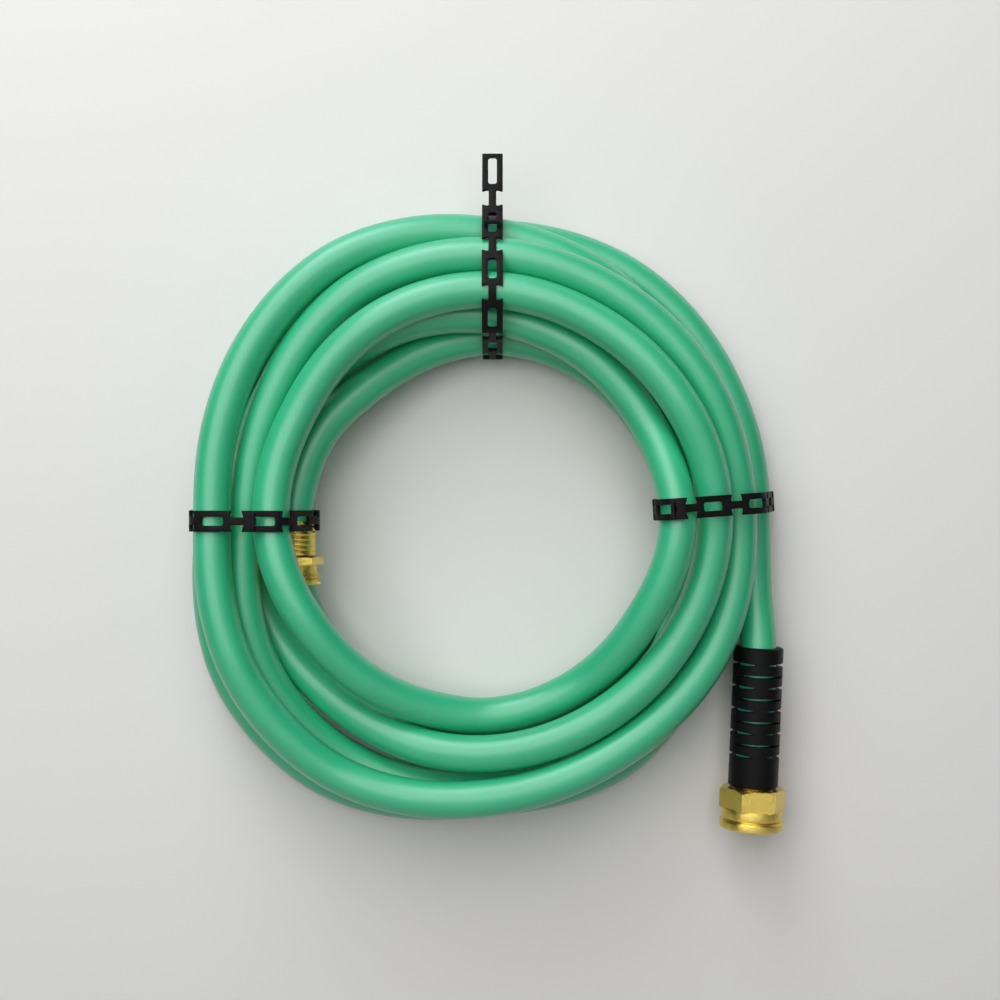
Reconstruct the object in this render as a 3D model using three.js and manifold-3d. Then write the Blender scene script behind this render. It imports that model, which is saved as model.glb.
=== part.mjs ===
// A garden hose put away: 6.5 turns held by three slotted-link straps, hung by the end link
// of the top strap. A swivel coupling with a bend collar hangs at the right, and the threaded
// end looks out inside the coil at the left.
//
// Millimetres. +X is right, +Z is up and the front faces -Y. The origin is where the hook
// bears: the top of the slot in the hanging link, in the middle of its thickness.

import * as THREE from 'three';
import { mergeGeometries, mergeVertices } from 'three/addons/utils/BufferGeometryUtils.js';
import Module from 'manifold-3d';

const wasm = await Module();
wasm.setup();

// ---------------------------------------------------------------- driving dimensions

const CLEARANCE = 0.3;              // between pieces that touch on the real hose

const HOSE = { diameter: 18.3, bore: 12.7, sides: 6, stepsPerTurn: 24, gap: 1.15 };

// The coil's centre from the hook, and how far the hook stands out from the coil's back.
const COIL = { x: -4.45, z: -183.6, hookDepth: 38 };

// Each turn at twelve clock places, from the top clockwise: how far its centre line is from
// the coil's centre, and from the coil's back. The first row is the threaded end's three.
const TURN_RADII = [
  [96.4, 97.2, 94.8],
  [97.3, 98, 99.6, 102.6, 101.4, 102.5, 106.5, 107, 107.3, 103.6, 109, 107.6],
  [104.3, 100.2, 98, 98.2, 95, 99.4, 103.4, 102.4, 101.5, 105.7, 107, 112.2],
  [114.8, 112.4, 111.6, 113.4, 112.6, 112.6, 113.6, 115, 119, 123, 127.5, 128],
  [122, 115.5, 111, 109.5, 114.5, 126.5, 136.5, 140.5, 133, 120.5, 123.5, 132.5],
  [133, 131, 130, 130, 134, 133.5, 138, 146, 141, 134, 142, 151],
  [146, 135.8, 125, 121.5, 131.5, 145, 146, 158, 155, 139.8, 146.5, 151.5],
  [147.5, 148.3, 143.2, 140],
];
const TURN_DEPTHS = [
  [32.5, 28, 19],
  [13.5, 15, 11, 9.8, 10, 10, 9.8, 9.8, 9.6, 9.6, 13, 32],
  [32, 37.5, 40.2, 57.4, 50.5, 31, 27.5, 41, 54, 51.3, 47.5, 50.5],
  [48.8, 52, 54.6, 45.4, 42, 43.5, 43, 32, 20.5, 15, 14.5, 10.5],
  [23.5, 27, 26.5, 26, 25, 24, 27.5, 26.4, 37, 38, 40, 41],
  [43, 44.5, 41.5, 30, 33, 42, 46, 41.5, 53, 51.5, 48, 37.5],
  [28, 26.5, 12, 9.6, 9.6, 9.6, 9.6, 9.6, 9.6, 9.6, 9.6, 9.6],
  [9.6, 9.6, 9.6, 9.6],
];
const PLACES_PER_TURN = 12;
const FIRST_PLACE = -3;             // the threaded end leaves the coil at nine o'clock

// The last of the hose, from the coil to the collar: right of and below the coil's centre,
// and out from its back.
const LEAD = [[141.6, -38.5, 12], [142.6, -58, 16.5]];

// The barbed tails that hold both fittings in the hose.
const TAIL = { wall: 0.6, barb: 0.6 };

const MALE = {
  axisX: -96.4, depth: 32.5, top: -0.4,     // from the coil's centre
  ferrule: { wall: 1.35, length: 17.8, ridges: 7, ridgeHeight: 0.5 },
  hex: { acrossFlats: 25.4, height: 3.9, turn: 14 },
  boss: { diameter: 22.6, length: 3.9 },
  thread: { diameter: 26.6, length: 6.6, runout: 1 },
  tailLength: 15,
};

const FEMALE = {
  x: 142.8, z: -66, depth: 18.5, tilt: 2.4,  // top of the collar from the coil's centre
  collar: { room: 1.65, wall: 2, length: 72 },
  slots: { count: 9, first: 8.6, last: 16.2, mouth: 2.2, root: 1, sideDepth: 5.5, frontDepth: 3.8 },
  ferrule: { wall: 1.2, length: 12 },
  nut: { threadDiameter: 25.4, hexWall: 2.8, bodyWall: 3.1, rimWall: 3.8, turn: 12,
    hexHeight: 11, length: 21, rimHeight: 4.6, groove: 0.8, lip: 3.4, gap: 1 },
  flange: { gap: 0.9, thickness: 2.4 },
  neck: 15,
  washer: { gap: 0.4, bore: 15.9, thickness: 3 },
  tailLength: 26,
};

const STRAP = {
  width: 10.4, thickness: 1.8, linkLength: 17.8, neckLength: 8.6, slotWidth: 4.4,
  firstBar: 3.9, lastBar: 2.8, hangLength: 19, hangBar: 2, hangTilt: 10, barb: 1,
  step: 3.4, tailSlope: 0.4, head: { inset: 0.5, length: 2.2 },
};

// Clock places of the straps in degrees, how far their planes lie aside of the coil's centre,
// and how far out the link that takes the strap's end starts.
const STRAPS = {
  top_strap: { clock: 0, aside: -COIL.x },
  left_strap: { clock: 270, lockAt: 119.6 },
  right_strap: { clock: 86.3, lockAt: 97.9 },
};

// What follows from them: the fittings go in the bore and over the hose, the washer and the
// flange in the nut, and a strap's necks through its slots.
const TAIL_RADIUS = (HOSE.bore / 2) * Math.cos(Math.PI / HOSE.sides) - CLEARANCE;
const TAIL_ROOT = TAIL_RADIUS - TAIL.barb;
const WATERWAY = TAIL_ROOT - TAIL.wall;
const OVER_HOSE = HOSE.diameter / 2 + CLEARANCE;
const MALE_SLEEVE = OVER_HOSE + MALE.ferrule.wall;
const CRIMP = OVER_HOSE + FEMALE.ferrule.wall;
const COLLAR_BORE = HOSE.diameter / 2 + FEMALE.collar.room;
const COLLAR_RADIUS = COLLAR_BORE + FEMALE.collar.wall;
const NUT_BORE = FEMALE.nut.threadDiameter / 2;
const NECK_WIDTH = STRAP.slotWidth - 2 * CLEARANCE;

// ---------------------------------------------------------------- solids and meshes

function signedVolume(geometry) {
  const p = geometry.getAttribute('position');
  const index = geometry.getIndex();
  const corners = [new THREE.Vector3(), new THREE.Vector3(), new THREE.Vector3()];
  let volume = 0;
  for (let i = 0; i < index.count; i += 3) {
    corners.forEach((corner, k) => corner.fromBufferAttribute(p, index.getX(i + k)));
    volume += corners[0].dot(corners[1].cross(corners[2])) / 6;
  }
  return volume;
}

// Only positions are kept, equal ones are shared, and the faces are made to point out.
function sealed(geometry) {
  const bare = geometry.clone();
  for (const name of Object.keys(bare.attributes)) {
    if (name !== 'position') bare.deleteAttribute(name);
  }
  const merged = mergeVertices(bare, 1e-4);
  const old = merged.getIndex().array;
  const kept = [];
  for (let i = 0; i < old.length; i += 3) {
    const [a, b, c] = [old[i], old[i + 1], old[i + 2]];
    if (a !== b && b !== c && c !== a) kept.push(a, b, c);
  }
  merged.setIndex(kept);
  if (signedVolume(merged) < 0) merged.setIndex(kept.reverse());
  return merged;
}

function solid(geometry) {
  const shell = sealed(geometry);
  return new wasm.Manifold(new wasm.Mesh({
    numProp: 3,
    vertProperties: new Float32Array(shell.getAttribute('position').array),
    triVerts: new Uint32Array(shell.getIndex().array),
  }));
}

function skin(body) {
  const mesh = body.getMesh();
  const geometry = new THREE.BufferGeometry();
  geometry.setAttribute('position', new THREE.BufferAttribute(mesh.vertProperties, 3));
  geometry.setIndex(new THREE.BufferAttribute(mesh.triVerts, 1));
  return geometry;
}

// A profile of [radius, height] turned round the Z axis.
function turned(profile, sides = 32) {
  const points = profile.map(([radius, height]) => new THREE.Vector2(radius, height));
  return new THREE.LatheGeometry(points, sides).rotateX(Math.PI / 2);
}

function turnedRing(profile, sides) {
  return turned([...profile, profile[0]], sides);
}

// A hexagonal bar along Z with two flats square to Y.
function hexBar(acrossFlats, bottom, top) {
  const bar = new THREE.CylinderGeometry(acrossFlats / Math.sqrt(3), acrossFlats / Math.sqrt(3),
    top - bottom, 6);
  return bar.rotateX(Math.PI / 2).rotateZ(Math.PI / 2).translate(0, 0, (top + bottom) / 2);
}

function finish(name, geometry, look) {
  const material = new THREE.MeshStandardMaterial({ ...look, flatShading: true });
  geometry.computeVertexNormals();
  const mesh = new THREE.Mesh(geometry, material);
  mesh.name = name;
  return mesh;
}

const LOOKS = {
  hose: { color: 0x4fb98a, roughness: 0.45, metalness: 0 },
  brass: { color: 0xd9bd5a, roughness: 0.3, metalness: 1 },
  plastic: { color: 0x1c1d20, roughness: 0.55, metalness: 0 },
  rubber: { color: 0x24262a, roughness: 0.8, metalness: 0 },
};

// ---------------------------------------------------------------- the lie of the coil

const TURN = 2 * Math.PI;
const clockAt = (step) => (step / HOSE.stepsPerTurn) * TURN;

// A smooth value through a row of equally spaced ones.
function eased(row, at) {
  const i = Math.min(Math.floor(at), row.length - 2);
  const f = at - i;
  const pick = (k) => row[Math.max(0, Math.min(row.length - 1, k))];
  const [a, b, c, d] = [pick(i - 1), pick(i), pick(i + 1), pick(i + 2)];
  return b + 0.5 * f * (c - a + f * (2 * a - 5 * b + 4 * c - d + f * (3 * (b - c) + d - a)));
}

// The chosen places, and from them the places where the strands lie side by side: each
// step pushes apart the strands that pass one clock place too near each other.
function layTurns() {
  const hexCorner = MALE.hex.acrossFlats / Math.sqrt(3);
  const fitting = [[0, MALE_SLEEVE], [-1, hexCorner], [-2, hexCorner - 6]];
  const radii = TURN_RADII.flat();
  const depths = TURN_DEPTHS.flat();
  const perPlace = HOSE.stepsPerTurn / PLACES_PER_TURN;
  const count = (radii.length - 1) * perPlace + 1;
  const chosen = Array.from({ length: count }, (_, i) => [
    eased(radii, i / perPlace), eased(depths, i / perPlace)]);
  const lie = chosen.map((place) => [...place]);
  const apart = HOSE.diameter + HOSE.gap;
  for (let round = 0; round < 400; round++) {
    for (let i = 0; i < count; i++) {
      for (let j = i + HOSE.stepsPerTurn; j < count; j += HOSE.stepsPerTurn) {
        const across = lie[j][0] - lie[i][0];
        const out = lie[j][1] - lie[i][1];
        const distance = Math.hypot(across, out);
        const push = Math.max(0, apart - distance) / 2 / Math.max(distance, 1);
        lie[i][0] -= across * push;
        lie[i][1] -= out * push;
        lie[j][0] += across * push;
        lie[j][1] += out * push;
      }
    }
    for (const [step, size] of fitting) {
      const axis = [-MALE.axisX / Math.cos((step * TURN) / HOSE.stepsPerTurn), MALE.depth];
      for (let i = step + HOSE.stepsPerTurn; i < count; i += HOSE.stepsPerTurn) {
        const away = lie[i].map((value, k) => value - axis[k]);
        const distance = Math.hypot(...away);
        const push = Math.max(0, size + HOSE.diameter / 2 + HOSE.gap - distance) / distance;
        lie[i] = lie[i].map((value, k) => value + away[k] * push);
      }
    }
    lie[0] = [...chosen[0]];
    if (round >= 340) continue;
    const moved = lie.map((place, i) => place.map((value, k) => value - chosen[i][k]));
    for (let i = 1; i < count; i++) {
      const before = moved[Math.max(0, i - 1)];
      const after = moved[Math.min(count - 1, i + 1)];
      for (const k of [0, 1]) {
        const even = 0.5 * moved[i][k] + 0.25 * (before[k] + after[k]);
        lie[i][k] = chosen[i][k] + 0.985 * even;
      }
    }
  }
  return lie;
}

const lie = layTurns();
const firstStep = FIRST_PLACE * (HOSE.stepsPerTurn / PLACES_PER_TURN);

// A point so far right of, above and out from the back of the coil's centre.
function coilPoint(right, up, depth) {
  return new THREE.Vector3(COIL.x + right, COIL.hookDepth - depth, COIL.z + up);
}

function hoseRoute() {
  const points = [];
  const cutEnd = MALE.top - MALE.ferrule.length + CLEARANCE + 0.6;
  points.push(coilPoint(MALE.axisX, cutEnd, MALE.depth));
  lie.forEach(([radius, depth], i) => {
    const clock = clockAt(firstStep + i);
    points.push(coilPoint(radius * Math.sin(clock), radius * Math.cos(clock), depth));
  });
  for (const [right, up, depth] of LEAD) points.push(coilPoint(right, up, depth));
  const down = new THREE.Vector3(0, 0, -1).applyEuler(couplingTurn);
  const collarTop = coilPoint(FEMALE.x, FEMALE.z, FEMALE.depth);
  const run = FEMALE.collar.length - 2;
  for (const along of [6, run / 2, run]) {
    points.push(collarTop.clone().addScaledVector(down, along));
  }
  return points;
}

// Closed shell of a tube with a bore along the points; its sections stay level with the coil.
function pipe(points, sides) {
  const rings = points.map((point, i) => {
    const before = points[Math.max(0, i - 1)];
    const after = points[i < 2 ? 1 : Math.min(points.length - 1, i + 1)];
    const ahead = after.clone().sub(before).normalize();
    const front = new THREE.Vector3(0, -1, 0).addScaledVector(ahead, ahead.y).normalize();
    return { point, front, side: ahead.clone().cross(front) };
  });
  const position = [];
  for (const radius of [HOSE.diameter / 2, HOSE.bore / 2]) {
    for (const { point, front, side } of rings) {
      for (let k = 0; k < sides; k++) {
        const angle = (k / sides) * TURN;
        const spot = point.clone()
          .addScaledVector(front, radius * Math.cos(angle))
          .addScaledVector(side, radius * Math.sin(angle));
        position.push(spot.x, spot.y, spot.z);
      }
    }
  }
  const inner = rings.length * sides;
  const index = [];
  const quad = (a, b, c, d) => index.push(a, b, c, a, c, d);
  for (let k = 0; k < sides; k++) {
    const next = (k + 1) % sides;
    for (let i = 0; i < rings.length - 1; i++) {
      const [here, ahead] = [i * sides, (i + 1) * sides];
      quad(here + k, here + next, ahead + next, ahead + k);
      quad(inner + here + k, inner + ahead + k, inner + ahead + next, inner + here + next);
    }
    const last = (rings.length - 1) * sides;
    quad(k, inner + k, inner + next, next);
    quad(last + k, last + next, inner + last + next, inner + last + k);
  }
  const geometry = new THREE.BufferGeometry();
  geometry.setAttribute('position', new THREE.Float32BufferAttribute(position, 3));
  geometry.setIndex(index);
  return geometry;
}

// The least gap between strands that aren't next to each other along the hose.
function leastGap(points) {
  const curve = new THREE.CatmullRomCurve3(points, false, 'centripetal');
  const spots = curve.getSpacedPoints(1600);
  const apart = Math.round(1600 * (4 * HOSE.diameter) / curve.getLength());
  let least = Infinity;
  for (let i = 0; i < spots.length; i++) {
    for (let j = i + apart; j < spots.length; j++) {
      least = Math.min(least, spots[i].distanceTo(spots[j]));
    }
  }
  return { gap: least - HOSE.diameter, length: curve.getLength() };
}

const couplingTurn = new THREE.Euler(0, THREE.MathUtils.degToRad(FEMALE.tilt), 0);
const route = hoseRoute();

function hose() {
  const { gap, length } = leastGap(route);
  console.log(`hose: ${(length / 1000).toFixed(3)} m, least gap to itself ${gap.toFixed(2)} mm`);
  return finish('hose', pipe(route, HOSE.sides), LOOKS.hose);
}

// ---------------------------------------------------------------- the threaded end

function maleFerrule() {
  const { length, ridges, ridgeHeight } = MALE.ferrule;
  const pitch = length / ridges;
  const profile = [[OVER_HOSE, 0], [OVER_HOSE, -length]];
  for (let i = ridges - 1; i >= 0; i--) {
    const top = -i * pitch;
    profile.push([MALE_SLEEVE - ridgeHeight, top - pitch], [MALE_SLEEVE, top - 0.75 * pitch],
      [MALE_SLEEVE, top - 0.3 * pitch]);
  }
  profile.push([MALE_SLEEVE - ridgeHeight, 0]);
  return finish('male_ferrule', sealed(turnedRing(profile, 28)), LOOKS.brass);
}

// The steps of a barbed tail, from its root up.
function barbs(bottom, length, count) {
  const pitch = length / count;
  return Array.from({ length: count }, (_, i) => {
    const top = bottom + length - (count - 1 - i) * pitch;
    return [[TAIL_RADIUS, top - 0.8 * pitch], [TAIL_ROOT, top]];
  }).flat();
}

function maleFitting() {
  const { hex, boss, thread, tailLength } = MALE;
  const hexTop = -MALE.ferrule.length - CLEARANCE;
  const hexBottom = hexTop - hex.height;
  const bossBottom = hexBottom - boss.length;
  const mouth = bossBottom - thread.length;
  const body = solid(turnedRing([
    [WATERWAY, mouth],
    [thread.diameter / 2 - thread.runout, mouth],
    [thread.diameter / 2, mouth + thread.runout],
    [thread.diameter / 2, bossBottom],
    [boss.diameter / 2, bossBottom],
    [boss.diameter / 2, hexBottom + 0.5],
    [TAIL_ROOT, hexBottom + 0.5],
    ...barbs(hexTop, tailLength, 3),
    [WATERWAY, hexTop + tailLength],
  ], 28));
  const corner = hex.acrossFlats / Math.sqrt(3);
  const rounding = solid(turnedRing([
    [WATERWAY, hexBottom], [corner - 1.2, hexBottom], [corner, hexBottom + 0.8],
    [corner, hexTop - 0.8], [corner - 1.2, hexTop], [WATERWAY, hexTop]], 28));
  const nut = solid(hexBar(hex.acrossFlats, hexBottom - 1, hexTop + 1)
    .rotateZ(THREE.MathUtils.degToRad(hex.turn))).intersect(rounding);
  return finish('male_fitting', skin(body.add(nut)), LOOKS.brass);
}

// ---------------------------------------------------------------- the swivel coupling

// Heights in the coupling, from the top of the collar down along its axis.
const nutTop = -(FEMALE.collar.length + FEMALE.nut.gap);
const hexBottomOfNut = nutTop - FEMALE.nut.hexHeight;
const mouthOfNut = nutTop - FEMALE.nut.length;
const underLip = nutTop - FEMALE.nut.lip;
const hoseCut = -(FEMALE.collar.length - 2);

function bendCollar() {
  const { length } = FEMALE.collar;
  const { count, first, last, mouth, root, sideDepth, frontDepth } = FEMALE.slots;
  const snug = CRIMP + CLEARANCE;
  const grip = -length + FEMALE.ferrule.length + 3;
  const pitch = (length - first - last) / (count - 1);
  const far = COLLAR_RADIUS + 1;
  let sleeve = solid(turnedRing([
    [COLLAR_BORE, 0], [COLLAR_BORE, grip], [snug, grip - 1], [snug, -length],
    [COLLAR_RADIUS - 0.4, -length], [COLLAR_RADIUS, -length + 0.6],
    [COLLAR_RADIUS, -0.6], [COLLAR_RADIUS - 0.4, 0]], 36));
  for (let i = 0; i < count; i++) {
    const chord = COLLAR_RADIUS - (i % 2 === 0 ? sideDepth : frontDepth);
    const wedge = new THREE.Shape([
      new THREE.Vector2(chord, -root / 2), new THREE.Vector2(far, -mouth / 2),
      new THREE.Vector2(far, mouth / 2), new THREE.Vector2(chord, root / 2)]);
    const cut = new THREE.ExtrudeGeometry(wedge, { depth: 4 * far, bevelEnabled: false })
      .translate(0, 0, -2 * far).rotateX(Math.PI / 2);
    if (i % 2 === 1) cut.rotateZ(Math.PI / 2);
    cut.translate(0, 0, -first - i * pitch);
    const opposite = cut.clone().rotateZ(Math.PI);
    sleeve = sleeve.subtract(solid(cut)).subtract(solid(opposite));
  }
  return finish('bend_collar', skin(sleeve), LOOKS.plastic);
}

function femaleFerrule() {
  const top = hoseCut + FEMALE.ferrule.length - CLEARANCE;
  const bottom = hoseCut + CLEARANCE;
  const profile = [[OVER_HOSE, top], [OVER_HOSE, bottom], [CRIMP, bottom],
    [CRIMP, top - 1], [CRIMP - 0.5, top]];
  return finish('female_ferrule', sealed(turnedRing(profile, 28)), LOOKS.brass);
}

function tailpiece() {
  const { tailLength, neck, flange } = FEMALE;
  const shoulderTop = hoseCut - CLEARANCE;
  const shoulderBottom = nutTop + 0.4;
  const flangeTop = underLip - CLEARANCE;
  const profile = [
    [WATERWAY, flangeTop - flange.thickness],
    [NUT_BORE - flange.gap, flangeTop - flange.thickness],
    [NUT_BORE - flange.gap, flangeTop],
    [neck / 2, flangeTop],
    [neck / 2, shoulderBottom],
    [CRIMP - 0.4, shoulderBottom],
    [CRIMP - 0.4, shoulderTop],
    [TAIL_ROOT, shoulderTop],
    ...barbs(hoseCut, tailLength, 4),
    [WATERWAY, hoseCut + tailLength],
  ];
  return finish('tailpiece', sealed(turnedRing(profile, 28)), LOOKS.brass);
}

function hoseWasher() {
  const { gap, bore, thickness } = FEMALE.washer;
  const top = underLip - CLEARANCE - FEMALE.flange.thickness - CLEARANCE;
  const profile = [[bore / 2, top], [bore / 2, top - thickness],
    [NUT_BORE - gap, top - thickness], [NUT_BORE - gap, top]];
  return finish('hose_washer', sealed(turnedRing(profile, 28)), LOOKS.rubber);
}

function swivelNut() {
  const { hexWall, bodyWall, rimWall, turn, rimHeight, groove } = FEMALE.nut;
  const acrossFlats = 2 * (NUT_BORE + hexWall);
  const body = NUT_BORE + bodyWall;
  const rim = NUT_BORE + rimWall;
  const corner = acrossFlats / Math.sqrt(3);
  const rimTop = mouthOfNut + rimHeight;
  const rounding = solid(turned([
    [0, hexBottomOfNut], [corner - 1, hexBottomOfNut], [corner, hexBottomOfNut + 1],
    [corner, nutTop - 1.2], [corner - 2.2, nutTop], [0, nutTop]], 36));
  const hex = solid(hexBar(acrossFlats, hexBottomOfNut - 1, nutTop + 1)
    .rotateZ(THREE.MathUtils.degToRad(turn))).intersect(rounding);
  const skirt = solid(turned([
    [0, mouthOfNut], [rim - 0.6, mouthOfNut], [rim, mouthOfNut + 0.8],
    [rim, rimTop - 0.8], [rim - 0.6, rimTop], [body - groove, rimTop + 0.2],
    [body, rimTop + groove + 0.2], [body, hexBottomOfNut + 0.5], [0, hexBottomOfNut + 0.5]], 36));
  const hollow = solid(turned([
    [0, mouthOfNut - 1], [NUT_BORE + 0.8, mouthOfNut - 1],
    [NUT_BORE + 0.8, mouthOfNut + 0.2], [NUT_BORE, mouthOfNut + 1],
    [NUT_BORE, underLip], [FEMALE.neck / 2 + CLEARANCE, underLip],
    [FEMALE.neck / 2 + CLEARANCE, nutTop + 1], [0, nutTop + 1]], 36));
  return finish('swivel_nut', skin(hex.add(skirt).subtract(hollow)), LOOKS.brass);
}

// ---------------------------------------------------------------- the straps

// The hose's [radius, depth, slope] so many steps from its first; it is straight between two.
function strandAt(at) {
  const stepAngle = TURN / HOSE.stepsPerTurn;
  const i = Math.max(0, Math.min(lie.length - 2, Math.floor(at)));
  const [near, far] = [lie[i], lie[i + 1]];
  const past = near[0] * Math.sin((at - i) * stepAngle);
  const left = far[0] * Math.sin((i + 1 - at) * stepAngle);
  const radius = near[0] * far[0] * Math.sin(stepAngle) / (past + left);
  const slope = Math.atan2(far[1] - near[1], radius * stepAngle);
  return [radius, near[1] + (far[1] - near[1]) * past / (past + left), slope];
}

// Circles round what a strap holds in its plane, over its width: [outward, depth, size].
function heldBy({ clock, aside = 0 }) {
  const circles = [];
  const stepAngle = TURN / HOSE.stepsPerTurn;
  const start = THREE.MathUtils.degToRad(clock) / stepAngle - firstStep;
  for (const side of [-0.5, 0, 0.5]) {
    const across = aside + side * STRAP.width;
    for (let at = start % HOSE.stepsPerTurn; at < lie.length; at += HOSE.stepsPerTurn) {
      const turn = (radius) => at + Math.asin(across / radius) / stepAngle;
      const [radius, depth, slope] = strandAt(turn(strandAt(turn(120))[0]));
      const outward = Math.sqrt(radius ** 2 - across ** 2);
      circles.push([outward, depth, HOSE.diameter / 2 / Math.cos(slope)]);
    }
  }
  return circles;
}

// The outline of a thread pulled tight round circles, from the outermost point inwards
// along the front.
function tightLoop(circles) {
  const off = 1.5 * CLEARANCE + STRAP.thickness / 2;
  const spots = circles.flatMap(([x, y, size]) => Array.from({ length: 72 }, (_, k) => [
    x + (size + off) * Math.cos((k / 72) * TURN), y + (size + off) * Math.sin((k / 72) * TURN)]));
  spots.sort((a, b) => a[0] - b[0] || a[1] - b[1]);
  const half = (list) => {
    const chain = [];
    for (const spot of list) {
      while (chain.length > 1) {
        const [a, b] = chain.slice(-2);
        if ((b[0] - a[0]) * (spot[1] - a[1]) - (b[1] - a[1]) * (spot[0] - a[0]) > 0) break;
        chain.pop();
      }
      chain.push(spot);
    }
    return chain.slice(0, -1);
  };
  const loop = [...half(spots), ...half([...spots].reverse())];
  const outermost = loop.reduce((best, spot, i) => (spot[0] > loop[best][0] ? i : best), 0);
  return [...loop.slice(outermost), ...loop.slice(0, outermost)];
}

// Lengths along a line of [radius, depth] points, and the place and direction at a length.
function track(points) {
  const lengths = [0];
  for (let i = 1; i < points.length; i++) {
    lengths.push(lengths[i - 1] + Math.hypot(points[i][0] - points[i - 1][0],
      points[i][1] - points[i - 1][1]));
  }
  const total = lengths[lengths.length - 1];
  const at = (length) => {
    let i = 1;
    while (i < points.length - 1 && lengths[i] < length) i++;
    const f = (length - lengths[i - 1]) / (lengths[i] - lengths[i - 1]);
    return [0, 1].map((k) => points[i - 1][k] + f * (points[i][k] - points[i - 1][k]));
  };
  return { total, at };
}

// One row of a band: how far along, the places of its four lines across, which of its
// three strips run on to the next row, and how far it stands off its track.
function bandRow(along, inner, strips, options = {}) {
  const { outer = STRAP.width / 2, barb = 0, lift = 0 } = options;
  return { along, inner, outer, strips, barb, lift };
}

function linkRows(start, neckRun, options = {}) {
  const { length = STRAP.linkLength, firstBar = STRAP.firstBar, firstBarb = STRAP.barb,
    lift = () => 0 } = options;
  const neck = NECK_WIDTH / 2;
  const slot = STRAP.slotWidth / 2;
  const slotStart = start + firstBar;
  const end = start + length;
  const slotEnd = end - STRAP.lastBar;
  const steps = Math.ceil((slotEnd - slotStart) / STRAP.step);
  const rows = [bandRow(start, neck, [1, 1, 1], { barb: -firstBarb })];
  for (let i = 0; i < steps; i++) {
    rows.push(bandRow(slotStart + (i / steps) * (slotEnd - slotStart), slot, [1, 0, 1]));
  }
  rows.push(bandRow(slotEnd, slot, [1, 1, 1]));
  rows.push(bandRow(end, neck, [0, 1, 0], { barb: STRAP.barb }));
  rows.push(bandRow(end + neckRun / 2, neck, [0, 1, 0]));
  return rows.map((row) => ({ ...row, lift: lift(row.along - start) }));
}

// The solid band of the rows, laid along a track in the plane of one clock place.
function band(rows, line, { clock: degrees, aside = 0 }) {
  const clock = THREE.MathUtils.degToRad(degrees);
  const outward = new THREE.Vector3(Math.sin(clock), 0, Math.cos(clock));
  const front = new THREE.Vector3(0, -1, 0);
  const across = new THREE.Vector3(Math.cos(clock), 0, -Math.sin(clock));
  const centre = coilPoint(0, 0, 0).addScaledVector(across, aside);
  const position = [];
  const spotAt = (along, lift, width, face) => {
    const [a, b] = [line.at(along - 0.8), line.at(along + 0.8)];
    const size = Math.hypot(b[0] - a[0], b[1] - a[1]);
    const normal = [-(b[1] - a[1]) / size, (b[0] - a[0]) / size];
    const [radius, depth] = line.at(along);
    const off = line.side * (lift + face * STRAP.thickness / 2);
    return centre.clone()
      .addScaledVector(outward, radius + normal[0] * off)
      .addScaledVector(front, depth + normal[1] * off)
      .addScaledVector(across, width);
  };
  rows.forEach(({ along, inner, outer, barb, lift }) => {
    for (const [width, shift] of [[-outer, barb], [-inner, 0], [inner, 0], [outer, barb]]) {
      for (const face of [-1, 1]) position.push(...spotAt(along + shift, lift, width, face));
    }
  });
  const index = [];
  const corner = (row, lineAcross, face) => row * 8 + lineAcross * 2 + face;
  const quad = (a, b, c, d) => index.push(a, b, c, a, c, d);
  const filled = (row, strip) => row >= 0 && row < rows.length - 1 && strip >= 0 && strip < 3
    && rows[row].strips[strip] === 1;
  for (let row = 0; row < rows.length - 1; row++) {
    for (let strip = 0; strip < 3; strip++) {
      if (!filled(row, strip)) continue;
      const [a, b] = [corner(row, strip, 0), corner(row, strip + 1, 0)];
      const [c, d] = [corner(row + 1, strip + 1, 0), corner(row + 1, strip, 0)];
      quad(a, b, c, d);
      quad(a + 1, d + 1, c + 1, b + 1);
      if (!filled(row - 1, strip)) quad(a, a + 1, b + 1, b);
      if (!filled(row + 1, strip)) quad(d, c, c + 1, d + 1);
      if (!filled(row, strip - 1)) quad(a, d, d + 1, a + 1);
      if (!filled(row, strip + 1)) quad(b, b + 1, c + 1, c);
    }
  }
  const geometry = new THREE.BufferGeometry();
  geometry.setAttribute('position', new THREE.Float32BufferAttribute(
    position.flatMap((spot) => (spot.isVector3 ? spot.toArray() : spot)), 3));
  geometry.setIndex(index);
  return sealed(geometry);
}

// The head at the end of a strap, past the slot that it came out through.
function headRows(start) {
  const neck = NECK_WIDTH / 2;
  const { inset, length } = STRAP.head;
  const outer = STRAP.width / 2 - inset;
  return [
    bandRow(start, neck, [1, 1, 1], { outer }),
    bandRow(start + length, neck, [0, 0, 0], { outer: outer - 0.8 }),
  ];
}

const layer = STRAP.thickness + CLEARANCE;
const PITCH = STRAP.linkLength + STRAP.neckLength;

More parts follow.
